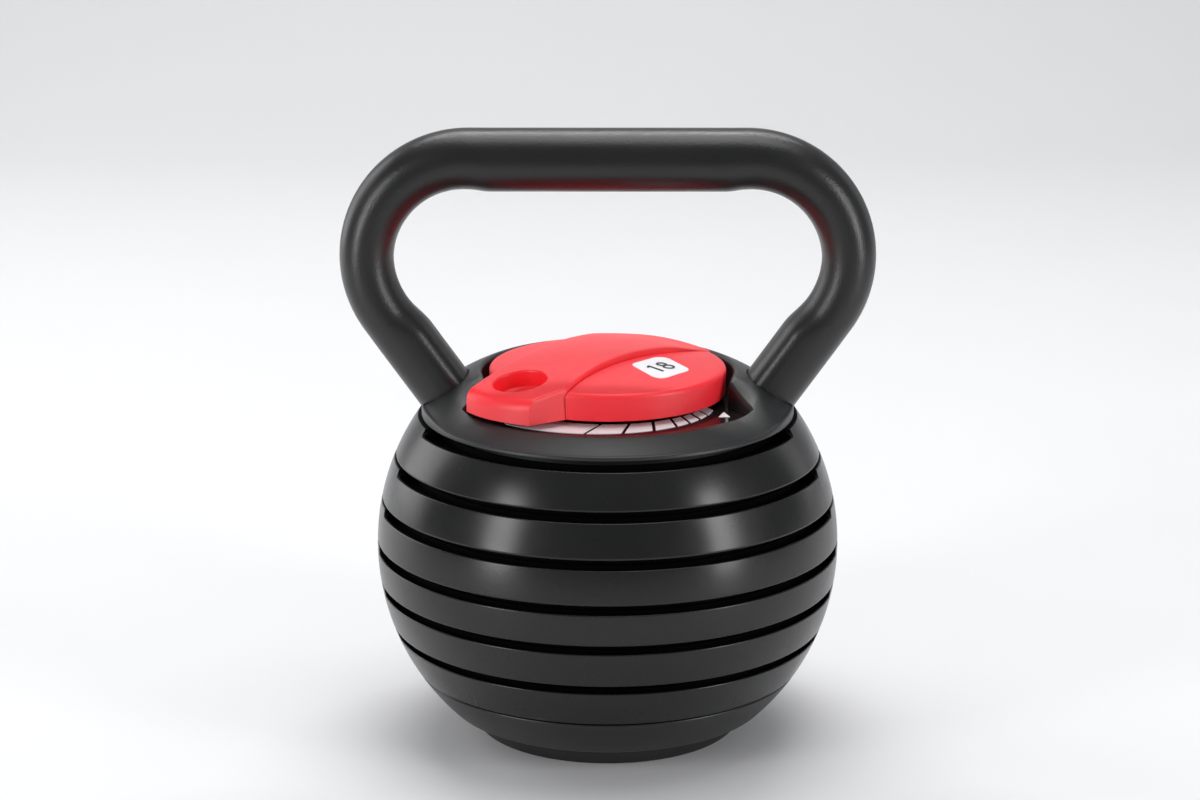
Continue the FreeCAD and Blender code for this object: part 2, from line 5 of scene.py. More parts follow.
import bmesh
import bpy
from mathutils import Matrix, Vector


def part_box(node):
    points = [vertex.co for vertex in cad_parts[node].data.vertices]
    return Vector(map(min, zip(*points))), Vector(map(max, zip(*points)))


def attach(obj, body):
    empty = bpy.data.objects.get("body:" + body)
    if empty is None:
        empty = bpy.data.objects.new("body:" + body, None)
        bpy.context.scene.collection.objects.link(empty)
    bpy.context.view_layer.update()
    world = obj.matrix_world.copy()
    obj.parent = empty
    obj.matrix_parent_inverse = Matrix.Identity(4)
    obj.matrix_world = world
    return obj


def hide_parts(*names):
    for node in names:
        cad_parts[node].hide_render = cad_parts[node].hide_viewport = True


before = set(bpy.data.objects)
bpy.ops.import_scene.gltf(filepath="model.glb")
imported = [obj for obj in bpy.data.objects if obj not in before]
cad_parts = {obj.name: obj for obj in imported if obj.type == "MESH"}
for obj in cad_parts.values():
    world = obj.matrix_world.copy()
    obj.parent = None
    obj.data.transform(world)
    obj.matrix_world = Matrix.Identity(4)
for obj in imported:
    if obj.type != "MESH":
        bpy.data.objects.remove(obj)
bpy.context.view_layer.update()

# The object's own lengths are in millimetres and its angles in degrees. MM turns them into metres.
MM = 0.001
WELD_DISTANCE = 1e-7  # metres
SHARP_ANGLE = math.radians(38)
SEGMENTS = 256
PLATES = 6

# The ball that plates and dock are slices of
BALL_RADIUS, BALL_HEIGHT = 102.98, 84.6
BALL_STEPS = 14
DOCK_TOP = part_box("dock_dish")[1].z / MM
SHOULDER_RISE, SHOULDER_DEPTH = 3.1, 6.5
SHOULDER_HALF_ANGLES = [20.0, 16.0, 13.5, 10.5, 13.5, 15.5]
SHOULDER_HALF_SLOPE = 0.5
EDGE_CLEAR, EDGE_STEP, EDGE_STEPS = 0.9, 0.125, 5
PLATE_TOPS = [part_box("plate_%d_shell" % (k + 1))[1].z / MM - SHOULDER_RISE for k in range(PLATES)]
LAND_ENDS = [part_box("plate_%d_shell" % (k + 1))[0].z / MM for k in range(PLATES)]
PLATE_GAP, DOCK_GAP = 3.9, 0.7
LAND_INSET, LAND_WALL, LAND_ROUND = 9.0, 2.0, 0.6
SKIN, WALL = 3.2, 5.0
KEY_RADIUS, KEY_ROUND = 24.0, 0.6
NEST_DEPTH, NEST_CLEARANCE, NEST_ROUND = 1.5, 0.5, 0.2
GROOVE_RIM, GROOVE_INSET, GROOVE_DEPTH = 1.2, 1.5, 2.6
RIM_LOW_ROUND, RIM_HIGH_ROUND, RIM_INNER_ROUND = 1.0, 0.5, 0.15
ROUND_REACH_LOW, ROUND_REACH_HIGH = 1.3, 1.1
# Shell faces this far inside the ball's surface get the painted shade of the gaps
PAINTED_SHADE_DEPTH = 1.4

# Dock and its foot
SKIRT_BOTTOM = 9.9
DOCK_LOW_ROUND, DOCK_HIGH_ROUND, DOCK_NEST_ROUND = 3.0, 0.8, 0.4
DOCK_FLOOR, DOCK_BOTTOM, SOCKET_RADIUS = 6.0, 2.0, 13.9
FOOT_INNER, FOOT_STEP, FOOT_OUTER, FOOT_TOP = 38.0, 50.0, 58.5, 66.5
FOOT_LOW_ROUND, FOOT_HIGH_ROUND = 1.2, 0.8

# Top cover
COVER_SEGMENTS = 720
COVER_LOW, COVER_HIGH = [corner.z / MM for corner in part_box("top_cover")]
LIP_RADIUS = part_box("top_cover")[1].x / MM
LIP_BOTTOM, LIP_ROUND, LIP_CHAMFER, LIP_STEPS = 144.4, 1.3, 0.3, 5
SKIRT_OUTER, SKIRT_INNER = 74.0, 71.4
BRACKET_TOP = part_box("handle_bracket")[1].z / MM
FRONT_INNER, CORNER_INNER, CROWN_INNER = 65.0, 69.3, 55.6
FRONT_RIM, FRONT_FLAT, FRONT_EDGE = 151.4, 69.5, 145.8
FRONT_CURVE, FRONT_DIP = 1.1, 0.1
CROWN_EDGE, CROWN_FLAT, CROWN_EVEN_FALL = 148.3, 1.5, 0.6
CORNER_START, CORNER_END = -50, -24
WALL_FRONT, WALL_BACK = -26.5, -18.2
RAMP_END, RAMP_TOP = -38.0, -12.0
RECESS_ROUND, RECESS_STEPS = 1.9, 7
COVER_TOP_STEPS = 26

# Handle
BAR_HEIGHT, BAR_RADIUS = 257.4, 13.9
BEND_X, BEND_Z, BEND_OUTER = 60.8, 214.5, 56.8
BEND_START_THICKNESS, BEND_THICKNESS = 26.8, 23.7
PINCH_X = 51.0
LEG_TILT, LEG_SHIFT, LEG_BLEND = 35.5, 1.9, 15.0
FACET, FACET_SOFTNESS = 11.7, 0.35
LEG_END, LEG_CUT_END, LEG_CLEARANCE = 152.3, 147.0, 0.45
BAR_STATIONS = (0, 15, 30, 45, PINCH_X)
PINCH_STEPS, BEND_STEPS, BLEND_STEPS, LEG_STEPS = 12, 44, 15, 10
HANDLE_AROUND = 72

# Dial
DIAL_RADIUS, DIAL_DRAFT = 52.5, 0.3
DIAL_BOTTOM, DIAL_WALL_TOP, DIAL_CROWN = 153.4, 165.4, 169.4
DIAL_TOP_ROUND, DIAL_LOW_ROUND = 2.4, 0.8
DISK_STATIONS = (0, 6, 12, 18, 24, 30, 36, 42, 46, 49)
BOSS_RADIUS, BOSS_BOTTOM = 12.0, 152.9
POCKET_RADIUS, POCKET_TOP = 6.0, 157.4

# Arm on the dial, its long edges each an arc through three plan points
ARM_LEFT = ((-61.0, -35.0), (-34.5, 6.5), (-8.0, 52.0))
ARM_RIGHT = ((-17.0, -48.0), (8.5, -6.5), (46.5, 24.5))
ARM_RIGHT_END = (-33.5, -58.3)
ARM_CROWN, ARM_DROP, ARM_REACH = 172.2, 10.3, 74.7
ARM_FALL = ARM_DROP / ARM_REACH ** 2
ARM_LENGTH, ARM_STEPS, ARC_STEPS = 100.0, 90, 60
ARM_SIDE_ROUND, ARM_END_ROUND = 1.6, 4.5
# Shares along and across the arm where its mesh has rows, closer together at the rounded edges
ARM_ALONG = [0, 0.002, 0.005, 0.01, 0.016, 0.024, 0.034, 0.046]
ARM_ALONG += [step / ARM_STEPS for step in range(5, ARM_STEPS + 1)]
ARM_ACROSS = [0, 0.01, 0.025, 0.05, 0.08, 0.12, 0.17, 0.25, 0.35, 0.45,
              0.55, 0.65, 0.75, 0.83, 0.88, 0.92, 0.95, 0.975, 0.99, 1]
# How far the arm's two ends bulge outward, and the shares of its length over which they do
FINGER_END_BULGE, FINGER_END_AZIMUTH, FINGER_END_SHARE, GROW_SHARE = 3.5, -137.5, 0.3, 0.05
FAR_END_BULGE, FAR_END_AZIMUTH, FAR_END_SHARE = 9.6, 63.0, 0.6
# Shares along and across the arm from which its far end merges into the disk
MERGE_ALONG, MERGE_ACROSS, MERGE_LIFT = 0.8, 0.35, 0.2
ARM_INNER_FLOOR, FLOOR_STEP_OUTER, FLOOR_STEP_INNER = 160.0, 30.0, 24.0
ARM_MIN_THICKNESS, CUT_BELOW = 1.0, 1.0
ARM_CLEARANCE, CUT_ABOVE = 0.45, 4.0

# Finger hole
FINGER = (-37.9, -34.8)
FINGER_RADIUS, FINGER_FLOOR = 11.8, 158.9
FINGER_FLARE, FLARE_STEPS = 1.4, 5
FINGER_LOW_INSET, FINGER_LOW_RISE, FINGER_LOW_DRAFT = 1.5, 1.0, 0.4
PLUG_MARGIN, PLUG_STEP, PLUG_RISE, PLUG_SEGMENTS = 3, 0.05, 8, 96

# Printed scale
SCALE_MARKS = [-135.0, -98.4, -83.0, -69.4, -58.0, -50.0, -42.3, -34.5, -24.3]
SCALE_GAP, SCALE_INNER_GAP, SCALE_SLANT = 1.5, 1.95, 5.5
SCALE_INNER, SCALE_START, SCALE_END = 46.0, 62.6, 51.1
SCALE_THICKNESS, SCALE_STEPS = 0.25, 12

# Label on the dial and its number
BADGE_CORNERS = [(9.9, -14.2), (22.0, -34.3), (36.3, -16.6), (24.2, 3.2)]
BADGE_ROUND, BADGE_SINK, BADGE_RISE, CORNER_STEPS = 4.3, -0.6, 0.3, 8
NUMBER_AZIMUTH = 46.0
ONE_CENTRE, EIGHT_CENTRE = (20.8, -18.9), (25.2, -13.2)
ONE_FLAG = [(-1.7, 2.9), (0.4, 4.4)]
ONE_STEM = [(0.4, 4.6), (0.4, -4.4)]
UPPER_LOOP, LOWER_LOOP = (2.2, 1.9, 2.0), (-2.1, 2.3, 2.3)
LOOP_STEPS, STROKE_HALF, NUMBER_RISE = 24, 0.5, 0.42


# ---------------------------------------------------------------- mesh helpers

def ball_at(z):
    """Radius of the ball at a height."""
    return math.sqrt(BALL_RADIUS ** 2 - (z - BALL_HEIGHT) ** 2)


def polar(radius, azimuth):
    """Plan point at a radius and an azimuth in degrees."""
    return radius * math.cos(math.radians(azimuth)), radius * math.sin(math.radians(azimuth))


def smooth(low, high, value):
    """Smooth step from 0 at low to 1 at high."""
    t = min(1.0, max(0.0, (value - low) / (high - low)))
    return t * t * (3 - 2 * t)


def mix(a, b, t):
    return a + (b - a) * t


def millimetre_mesh(name, verts, faces, weld):
    """Mesh from millimetre vertices with its normals made consistent, double vertices joined if asked."""
    mesh = bpy.data.meshes.new(name)
    mesh.from_pydata([Vector(v) * MM for v in verts], [], faces)
    builder = bmesh.new()
    builder.from_mesh(mesh)
    if weld:
        bmesh.ops.remove_doubles(builder, verts=builder.verts, dist=WELD_DISTANCE)
    bmesh.ops.recalc_face_normals(builder, faces=builder.faces)
    builder.to_mesh(mesh)
    builder.free()
    return mesh


def shade(obj):
    """Smooth shading that keeps sharp edges, with normals weighted by face area."""
    obj.data.shade_smooth()
    obj.data.set_sharp_from_angle(angle=SHARP_ANGLE)
    modifier = obj.modifiers.new("weighted_normals", "WEIGHTED_NORMAL")
    modifier.keep_sharp = True


def piece(name, verts, faces, material, body, slot=None, stands_for=()):
    """A visible piece from millimetre vertices, with its material, body and the nodes it stands for."""
    mesh = millimetre_mesh(name, verts, faces, weld=True)
    mesh.materials.append(material)
    obj = bpy.data.objects.new(name, mesh)
    bpy.context.scene.collection.objects.link(obj)
    shade(obj)
    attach(obj, body)
    if stands_for:
        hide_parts(*stands_for)
    return obj


def carve(obj, verts, faces):
    """Cut a closed millimetre mesh out of a piece."""
    cutter = bpy.data.objects.new("cutter", millimetre_mesh("cutter", verts, faces, weld=False))
    bpy.context.scene.collection.objects.link(cutter)
    obj.modifiers.remove(obj.modifiers["weighted_normals"])
    modifier = obj.modifiers.new("cut", "BOOLEAN")
    modifier.object = cutter
    modifier.operation = "DIFFERENCE"
    modifier.solver = "EXACT"
    bpy.context.view_layer.update()
    carved = bpy.data.meshes.new_from_object(obj.evaluated_get(bpy.context.evaluated_depsgraph_get()))
    obj.modifiers.remove(modifier)
    carved.name = obj.name
    obj.data = carved
    shade(obj)
    bpy.data.objects.remove(cutter)


def rounded(outline, steps=5):
    """Outline points (r, z, rounding) with each rounding replaced by a short arc."""
    result = []
    count = len(outline)
    for i, (r, z, rounding) in enumerate(outline):
        here = Vector((r, z))
        if not rounding:
            result.append(here)
            continue
        before = (Vector(outline[i - 1][:2]) - here).normalized()
        after = (Vector(outline[(i + 1) % count][:2]) - here).normalized()
        angle = before.angle(after)
        reach = rounding / math.tan(angle / 2)
        centre = here + (before + after).normalized() * (rounding / math.sin(angle / 2))
        start, end = here + before * reach - centre, here + after * reach - centre
        for step in range(steps + 1):
            result.append(centre + start.slerp(end, step / steps) * rounding)
    return result


def turned(section, azimuths):
    """Closed turned mesh whose closed (r, z) section may change with the azimuth."""
    verts, faces, count = [], [], 0
    for azimuth in azimuths:
        c, n = polar(1.0, azimuth)
        outline = section(azimuth)
        count = len(outline)
        verts += [(p[0] * c, p[0] * n, p[1]) for p in outline]
    for s in range(len(azimuths)):
        here, there = s * count, (s + 1) % len(azimuths) * count
        faces += [(here + i, there + i, there + (i + 1) % count, here + (i + 1) % count)
                  for i in range(count)]
    return verts, faces


def lathe(name, outline, material, body, slot, stands_for):
    """Closed turned piece from a closed outline of (r, z) points."""
    verts, faces = turned(lambda azimuth: outline, [360 * s / SEGMENTS for s in range(SEGMENTS)])
    return piece(name, verts, faces, material, body, slot, stands_for)


def ball_arc(bottom, top):
    """Points on the ball's surface from bottom to top."""
    heights = [mix(bottom, top, i / BALL_STEPS) for i in range(BALL_STEPS + 1)]
    return [(ball_at(z), z, 0) for z in heights]


def rim(bottom, top, low_round, high_round):
    """Ball surface between two flat faces, its edges rounded by a small blend."""
    inner_low, inner_high = bottom + low_round * ROUND_REACH_LOW, top - high_round * ROUND_REACH_HIGH
    return ([(ball_at(bottom), bottom, low_round)] + ball_arc(inner_low, inner_high)
            + [(ball_at(top), top, high_round)])


# ---------------------------------------------------------------- material helpers

# Ranges of noise and of pointiness that are mapped, and how far a metal's roughness varies
NOISE_LOW, NOISE_HIGH = 0.3, 0.7
WEAR_START, WEAR_FULL, WEAR_SCALE = 0.52, 0.62, 90
GLOSS_SCALE = 35
METAL_SMOOTHER, METAL_ROUGHER, METAL_DEPTH = 0.08, 0.12, 0.0001


def node_material(name, colour, roughness, metallic=0.0, specular=0.5):
    """Principled material. Returns the material, its node tree and its shader."""
    material = bpy.data.materials.new(name)
    material.use_nodes = True
    tree = material.node_tree
    shader = tree.nodes["Principled BSDF"]
    shader.inputs["Base Color"].default_value = (*colour, 1)
    shader.inputs["Roughness"].default_value = roughness
    shader.inputs["Metallic"].default_value = metallic
    shader.inputs["Specular IOR Level"].default_value = specular
    return material, tree, shader


def noise(tree, scale, detail, stretch=(1, 1, 1)):
    """Noise in the object's own space, in cycles per metre."""
    coordinates = tree.nodes.new("ShaderNodeTexCoord")
    mapping = tree.nodes.new("ShaderNodeMapping")
    mapping.inputs["Scale"].default_value = stretch
    texture = tree.nodes.new("ShaderNodeTexNoise")
    texture.inputs["Scale"].default_value = scale
    texture.inputs["Detail"].default_value = detail
    tree.links.new(coordinates.outputs["Object"], mapping.inputs["Vector"])
    tree.links.new(mapping.outputs["Vector"], texture.inputs["Vector"])
    return texture.outputs["Fac"]


def spread(tree, value, low, high):
    """Map the middle range of a noise, where nearly all its values lie, to low and high."""
    node = tree.nodes.new("ShaderNodeMapRange")
    node.inputs["From Min"].default_value = NOISE_LOW
    node.inputs["From Max"].default_value = NOISE_HIGH
    node.inputs["To Min"].default_value = low
    node.inputs["To Max"].default_value = high
    tree.links.new(value, node.inputs["Value"])
    return node.outputs["Result"]


def bump(tree, shader, height, strength, distance):
    """Bump from a height, its distance in metres."""
    node = tree.nodes.new("ShaderNodeBump")
    node.inputs["Strength"].default_value = strength
    node.inputs["Distance"].default_value = distance
    tree.links.new(height, node.inputs["Height"])
    tree.links.new(node.outputs["Normal"], shader.inputs["Normal"])


def edge_wear(tree, shader, colour, worn, amount):
    """Lighter rubbed colour where the surface is sharply convex, broken up by noise."""
    geometry = tree.nodes.new("ShaderNodeNewGeometry")
    edges = tree.nodes.new("ShaderNodeMapRange")
    edges.inputs["From Min"].default_value = WEAR_START
    edges.inputs["From Max"].default_value = WEAR_FULL
    edges.inputs["To Max"].default_value = amount
    tree.links.new(geometry.outputs["Pointiness"], edges.inputs["Value"])
    broken = tree.nodes.new("ShaderNodeMath")
    broken.operation = "MULTIPLY"
    tree.links.new(edges.outputs["Result"], broken.inputs[0])
    tree.links.new(noise(tree, WEAR_SCALE, detail=4), broken.inputs[1])
    blend = tree.nodes.new("ShaderNodeMix")
    blend.data_type = "RGBA"
    blend.inputs["A"].default_value = (*colour, 1)
    blend.inputs["B"].default_value = (*worn, 1)
    tree.links.new(broken.outputs["Value"], blend.inputs["Factor"])
    tree.links.new(blend.outputs["Result"], shader.inputs["Base Color"])


def moulded(name, colour, worn, roughness, vary, grain, depth, strength, wear=0.5, specular=0.5):
    """Plastic, rubber, paint or print: fine grain, uneven gloss and slightly rubbed edges."""
    material, tree, shader = node_material(name, colour, roughness, specular=specular)
    gloss = spread(tree, noise(tree, GLOSS_SCALE, detail=4), roughness - vary, roughness + vary)
    tree.links.new(gloss, shader.inputs["Roughness"])
    bump(tree, shader, noise(tree, grain, detail=2), strength, depth)
    edge_wear(tree, shader, colour, worn, wear)
    return material


def metal(name, colour, roughness, stretch=(1, 1, 1), scale=300, strength=0.15):
    """Bare metal with machining or casting marks."""
    material, tree, shader = node_material(name, colour, roughness, metallic=1.0)
    marks = noise(tree, scale, detail=3, stretch=stretch)
    gloss = spread(tree, marks, roughness - METAL_SMOOTHER, roughness + METAL_ROUGHER)
    tree.links.new(gloss, shader.inputs["Roughness"])
    bump(tree, shader, marks, strength, METAL_DEPTH)
    return material


# ---------------------------------------------------------------- materials

SHELL_BLACK, SHELL_WORN = (0.006, 0.0061, 0.0065), (0.05, 0.05, 0.052)
shell_plastic = moulded("shell_plastic", SHELL_BLACK, SHELL_WORN, roughness=0.27, vary=0.04,
                        grain=900, depth=0.00003, strength=0.12, specular=0.42)
# Painted shade: a near-black, dull, barely reflective material for the shell faces inside the gaps between
# plates, where shade falls
painted_gap_shade = moulded("painted_gap_shade", (0.0008, 0.0008, 0.0009), (0.002, 0.002, 0.002), roughness=0.75, vary=0.1,
                    grain=900, depth=0.00003, strength=0.15, specular=0.08)
dock_plastic = moulded("dock_plastic", SHELL_BLACK, SHELL_WORN, roughness=0.36, vary=0.04,
                       grain=900, depth=0.00003, strength=0.15)
cover_plastic = moulded("cover_plastic", (0.014, 0.0145, 0.0155), (0.06, 0.06, 0.065), roughness=0.44,
                        vary=0.05, grain=1500, depth=0.00005, strength=0.35)
gloss_black = moulded("gloss_black", (0.006, 0.006, 0.007), (0.02, 0.02, 0.02), roughness=0.07, vary=0.02,
                      grain=60, depth=0.00002, strength=0.05)
handle_coat = moulded("handle_coat", (0.007, 0.007, 0.0075), (0.035, 0.035, 0.036), roughness=0.34,
                      vary=0.05, grain=1100, depth=0.00013, strength=0.75, wear=0.6)
dial_red = moulded("dial_red", (0.94, 0.024, 0.036), (0.98, 0.14, 0.14), roughness=0.40, vary=0.04,
                   grain=1300, depth=0.00003, strength=0.2, wear=0.35)
foot_rubber = moulded("foot_rubber", (0.012, 0.012, 0.013), (0.03, 0.03, 0.03), roughness=0.62, vary=0.06,
                      grain=700, depth=0.0001, strength=0.4)
print_white = moulded("print_white", (0.90, 0.90, 0.93), (0.92, 0.92, 0.95), roughness=0.4, vary=0.05,
                      grain=2000, depth=0.00001, strength=0.05, wear=0.1)
ink = moulded("ink", (0.02, 0.02, 0.02), (0.03, 0.03, 0.03), roughness=0.5, vary=0.05,
              grain=2000, depth=0.00001, strength=0.05, wear=0.0)
cast_iron = metal("cast_iron", (0.09, 0.09, 0.092), roughness=0.6, scale=420, strength=0.5)
plain_steel = metal("plain_steel", (0.55, 0.55, 0.56), roughness=0.32, stretch=(1, 1, 12))
brushed_steel = metal("brushed_steel", (0.48, 0.48, 0.49), roughness=0.36, stretch=(12, 1, 1))
brass = metal("brass", (0.62, 0.44, 0.2), roughness=0.3, stretch=(1, 1, 10))
bracket_paint = moulded("bracket_paint", (0.02, 0.02, 0.02), (0.1, 0.1, 0.1), roughness=0.42, vary=0.06,
                        grain=900, depth=0.00008, strength=0.4)

# Material of each CAD node by the last word of its name, all others being brushed steel
NODE_PAINT = {"core": cast_iron, "shell": shell_plastic, "keyhole": plain_steel, "screws": plain_steel,
              "tube": handle_coat, "bracket": bracket_paint, "cover": cover_plastic, "floor": gloss_black,
              "bush": brass, "print": print_white, "marker": print_white, "disk": dial_red,
              "arm": dial_red, "badge": print_white, "dish": dock_plastic, "foot": foot_rubber,
              "socket": dock_plastic}


# ---------------------------------------------------------------- plates and dock

def slice_bottom(k):
    """Height of a plate's underside, a gap above the next plate or the dock."""
    return PLATE_TOPS[k + 1] + PLATE_GAP if k + 1 < PLATES else DOCK_TOP + DOCK_GAP


def land_radius(k):
    """Outer radius of the ring under a plate that sits in the next one's nest."""
    return min(ball_at(slice_bottom(k)), ball_at(LAND_ENDS[k] + NEST_DEPTH)) - LAND_INSET


def shoulder_share(k, azimuth):
    """1 on the shoulders at a plate's two sides, 0 elsewhere, with short slopes between."""
    off_side = abs((azimuth + 90) % 180 - 90)
    half = SHOULDER_HALF_ANGLES[k]
    return smooth(half + SHOULDER_HALF_SLOPE, half - SHOULDER_HALF_SLOPE, off_side)


def plate_section(k, share):
    """Section of a plate's shell; on the shoulders its rim carries the ball up over the gap."""
    top, bottom, land_end, land = PLATE_TOPS[k], slice_bottom(k), LAND_ENDS[k], land_radius(k)
    nest = (SKIRT_OUTER if k == 0 else land_radius(k - 1)) + NEST_CLEARANCE
    core_top, core_bottom = top - NEST_DEPTH - SKIN, bottom + SKIN
    low = min(ball_at(core_bottom), ball_at(bottom)) - WALL
    high = min(ball_at(core_top), ball_at(top)) - WALL
    inner = mix(ball_at(top) - GROOVE_RIM, ball_at(top) - SHOULDER_DEPTH, share)
    rim_top = top + SHOULDER_RISE * share
    outline = rim(bottom, rim_top, RIM_LOW_ROUND, RIM_HIGH_ROUND)
    outline += [(inner, rim_top, RIM_INNER_ROUND), (inner, top - GROOVE_DEPTH, 0),
                (nest + GROOVE_INSET, top - GROOVE_DEPTH, 0), (nest + GROOVE_INSET, top, NEST_ROUND),
                (nest, top, NEST_ROUND), (nest, top - NEST_DEPTH, 0),
                (KEY_RADIUS, top - NEST_DEPTH, KEY_ROUND), (KEY_RADIUS, core_top, 0),
                (high, core_top, 0), (low, core_bottom, 0),
                (land - LAND_WALL, core_bottom, 0), (land - LAND_WALL, land_end, 0),
                (land, land_end, LAND_ROUND), (land, bottom, 0)]
    return rounded(outline)


def plate_azimuths(k):
    """Azimuths round a plate, closer together where its shoulders begin and end."""
    azimuths = [360 * s / SEGMENTS for s in range(SEGMENTS)]
    for side in (0, 180):
        for edge in (side - SHOULDER_HALF_ANGLES[k], side + SHOULDER_HALF_ANGLES[k]):
            azimuths = [a for a in azimuths if abs((a - edge + 180) % 360 - 180) > EDGE_CLEAR]
            azimuths += [(edge + EDGE_STEP * step) % 360 for step in range(-EDGE_STEPS, EDGE_STEPS + 1)]
    return sorted(azimuths)


def plate_shell(k):
    """One plate's moulded shell, with painted shade on its faces away from the ball's surface: a darker
    material in the gaps between plates, where shade falls.
    """
    mesh = turned(lambda azimuth: plate_section(k, shoulder_share(k, azimuth)), plate_azimuths(k))
    shell = piece("ring_shell_%d" % (k + 1), *mesh, shell_plastic, "plate_%d" % (k + 1), "shell_plastic",
                  ["plate_%d_shell" % (k + 1)])
    shell.data.materials.append(painted_gap_shade)
    # Painted shade: faces that lie inside the ball's surface, in the gaps, get the near-black second
    # material
    for face in shell.data.polygons:
        x, y, z = face.center / MM
        if math.hypot(x, y) < ball_at(z) - PAINTED_SHADE_DEPTH:
            face.material_index = 1


def dock():
    """Round dish that plate 6 sits in, and the rubber ring under it."""
    nest = land_radius(PLATES - 1) + NEST_CLEARANCE
    seat = DOCK_TOP - NEST_DEPTH
    outline = rim(SKIRT_BOTTOM, DOCK_TOP, DOCK_LOW_ROUND, DOCK_HIGH_ROUND)
    outline += [(nest, DOCK_TOP, DOCK_NEST_ROUND), (nest, seat, 0), (SOCKET_RADIUS, seat, 0),
                (SOCKET_RADIUS, DOCK_FLOOR, 0), (0, DOCK_FLOOR, 0), (0, DOCK_BOTTOM, 0),
                (FOOT_STEP, DOCK_BOTTOM, 0), (FOOT_STEP, SKIRT_BOTTOM, 0)]
    lathe("dock_bowl", rounded(outline), dock_plastic, "dock", "dock_plastic", ["dock_dish"])
    outline = [(FOOT_INNER, 0, 0), (FOOT_OUTER, 0, FOOT_LOW_ROUND),
               (FOOT_TOP, SKIRT_BOTTOM, FOOT_HIGH_ROUND), (FOOT_STEP, SKIRT_BOTTOM, 0),
               (FOOT_STEP, DOCK_BOTTOM, 0), (FOOT_INNER, DOCK_BOTTOM, 0)]
    lathe("foot_ring", rounded(outline), foot_rubber, "dock", "foot_rubber", ["dock_foot"])


# ---------------------------------------------------------------- top cover

def fold(azimuth):
    """Azimuth mirrored onto the right half, from -90 at the front to 90 at the back."""
    if azimuth > 90:
        return 180 - azimuth
    return -180 - azimuth if azimuth < -90 else azimuth


def recess_radius(azimuth):
    """Inner edge of the cover: wide at the front, stepping in to the crown at a slanted wall."""
    a = fold(azimuth)
    if a <= WALL_FRONT:
        return mix(FRONT_INNER, CORNER_INNER, smooth(CORNER_START, CORNER_END, a))
    if a >= WALL_BACK:
        return CROWN_INNER
    (x1, y1), (x2, y2) = polar(CORNER_INNER, WALL_FRONT), polar(CROWN_INNER, WALL_BACK)
    c, n = polar(1.0, a)
    return (x1 * (y2 - y1) - y1 * (x2 - x1)) / (c * (y2 - y1) - n * (x2 - x1))


def cover_top(radius, azimuth):
    """Height of the cover's upper surface: a low rim in front that climbs to a crown behind."""
    climb = smooth(RAMP_END, RAMP_TOP, fold(azimuth))
    slope = max(0.0, radius - FRONT_FLAT) / (LIP_RADIUS - FRONT_FLAT)
    front = mix(FRONT_RIM, FRONT_EDGE, slope ** FRONT_CURVE) - FRONT_DIP * max(0.0, FRONT_FLAT - radius)
    fall = max(0.0, (radius - CROWN_INNER - CROWN_FLAT) / (LIP_RADIUS - CROWN_INNER - CROWN_FLAT))
    bend = CROWN_EVEN_FALL * fall + (1 - CROWN_EVEN_FALL) * fall * fall
    crown = COVER_HIGH - (COVER_HIGH - CROWN_EDGE) * bend
    return mix(front, crown, climb)


def cover_section(azimuth):
    """Closed section of the cover in one half plane, as (radius, height) points."""
    inner = recess_radius(azimuth)
    flat, lip = inner + RECESS_ROUND, LIP_RADIUS - LIP_ROUND
    points = [(inner, BRACKET_TOP)]
    for step in range(RECESS_STEPS + 1):
        turn = math.pi / 2 * step / RECESS_STEPS
        points.append((inner + RECESS_ROUND * (1 - math.cos(turn)),
                       cover_top(flat, azimuth) - RECESS_ROUND * (1 - math.sin(turn))))
    for step in range(1, COVER_TOP_STEPS + 1):
        r = mix(flat, lip, step / COVER_TOP_STEPS)
        points.append((r, cover_top(r, azimuth)))
    edge = cover_top(lip, azimuth)
    for step in range(1, LIP_STEPS + 1):
        turn = math.pi / 2 * step / LIP_STEPS
        points.append((LIP_RADIUS - LIP_ROUND * (1 - math.sin(turn)),
                       edge - LIP_ROUND * (1 - math.cos(turn))))
    points += [(LIP_RADIUS, LIP_BOTTOM + LIP_CHAMFER), (LIP_RADIUS - LIP_CHAMFER, LIP_BOTTOM),
               (SKIRT_OUTER, LIP_BOTTOM), (SKIRT_OUTER, COVER_LOW), (SKIRT_INNER, COVER_LOW),
               (SKIRT_INNER, BRACKET_TOP)]
    return points


def cover():
    """Cover with the holes that the handle's legs pass through."""
    azimuths = [-180 + 360 * s / COVER_SEGMENTS for s in range(COVER_SEGMENTS)]
    shell = piece("cover_shell", *turned(cover_section, azimuths), cover_plastic, "handle_unit",
                  "cover_plastic", ["top_cover"])
    carve(shell, *handle_mesh(LEG_CLEARANCE, LEG_CUT_END))


# ---------------------------------------------------------------- handle

def handle_stations(leg_end):
    """Sections down the right half: centre x, z, outward direction, halves in plane and across, facet."""
    stations = [(x, BAR_HEIGHT, 0.0, BAR_RADIUS, BAR_RADIUS, BAR_RADIUS) for x in BAR_STATIONS]
    start = BEND_START_THICKNESS / 2
    bend_start_z = BEND_Z + BEND_OUTER - start
    for step in range(1, PINCH_STEPS + 1):
        t = smooth(0, 1, step / PINCH_STEPS)
        half = mix(BAR_RADIUS, start, t)
        stations.append((mix(PINCH_X, BEND_X, step / PINCH_STEPS), mix(BAR_HEIGHT, bend_start_z, t), 0.0,
                         half, BAR_RADIUS, half))
    for step in range(1, BEND_STEPS + 1):
        degrees = (90 + LEG_TILT) * step / BEND_STEPS
        half = mix(BEND_START_THICKNESS, BEND_THICKNESS, min(1.0, degrees / 90)) / 2
        turn = math.radians(degrees)
        reach = BEND_OUTER - half
        stations.append((BEND_X + reach * math.sin(turn), BEND_Z + reach * math.cos(turn), degrees,
                         half, BAR_RADIUS, half))
    return stations + leg_stations(stations[-1], leg_end)


